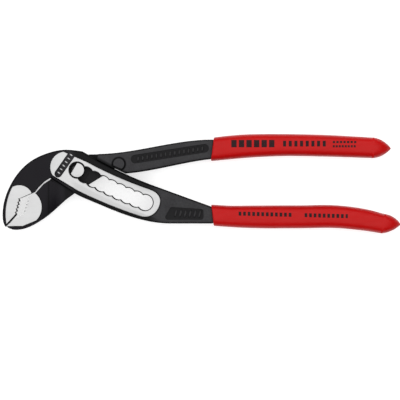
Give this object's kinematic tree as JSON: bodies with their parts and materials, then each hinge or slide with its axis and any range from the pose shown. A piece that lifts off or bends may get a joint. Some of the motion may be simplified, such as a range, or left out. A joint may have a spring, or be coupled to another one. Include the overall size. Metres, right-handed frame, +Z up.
{
  "type": "tongue and groove pliers",
  "caption": "Self-locking box-joint water-pump pliers: toothed jaws, a scalloped slot that the joint pin steps along to set the jaw size, and dipped plastic grips.",
  "frame": {"origin": "Middle of the underside of the tool's own box, lying flat with the handles closed on the first seat of the slot.", "axes": "+X runs along the tool from the jaws to the handle ends, +Y across it in the flat, towards the handle of the tongue arm, and +Z up through its thickness."},
  "size_m": [0.1802, 0.046, 0.0126],
  "materials": {
    "outer_arm": "black forged, faces polished",
    "inner_arm": "black forged, faces polished",
    "joint_pin": "ground",
    "upper_grip": "dipped, satin",
    "lower_grip": "dipped, satin"
  },
  "bodies": {
    "box_arm": {"outer_arm": "outer_arm", "lower_grip": "lower_grip"},
    "pin": {"joint_pin": "joint_pin"},
    "tongue_arm": {"inner_arm": "inner_arm", "upper_grip": "upper_grip"}
  },
  "joints": [
    {"name": "adjust", "type": "hinge", "parent": "box_arm", "child": "pin", "pos_m": [0.04255, 0.1745, 0.0063], "axis": [0, 0, 1], "range_deg": [0, 9.99]},
    {"name": "opening", "type": "hinge", "parent": "pin", "child": "tongue_arm", "pos_m": [-0.05642, 0.00648, 0.0063], "axis": [0, 0, 1], "range_deg": [0, 60]}
  ]
}
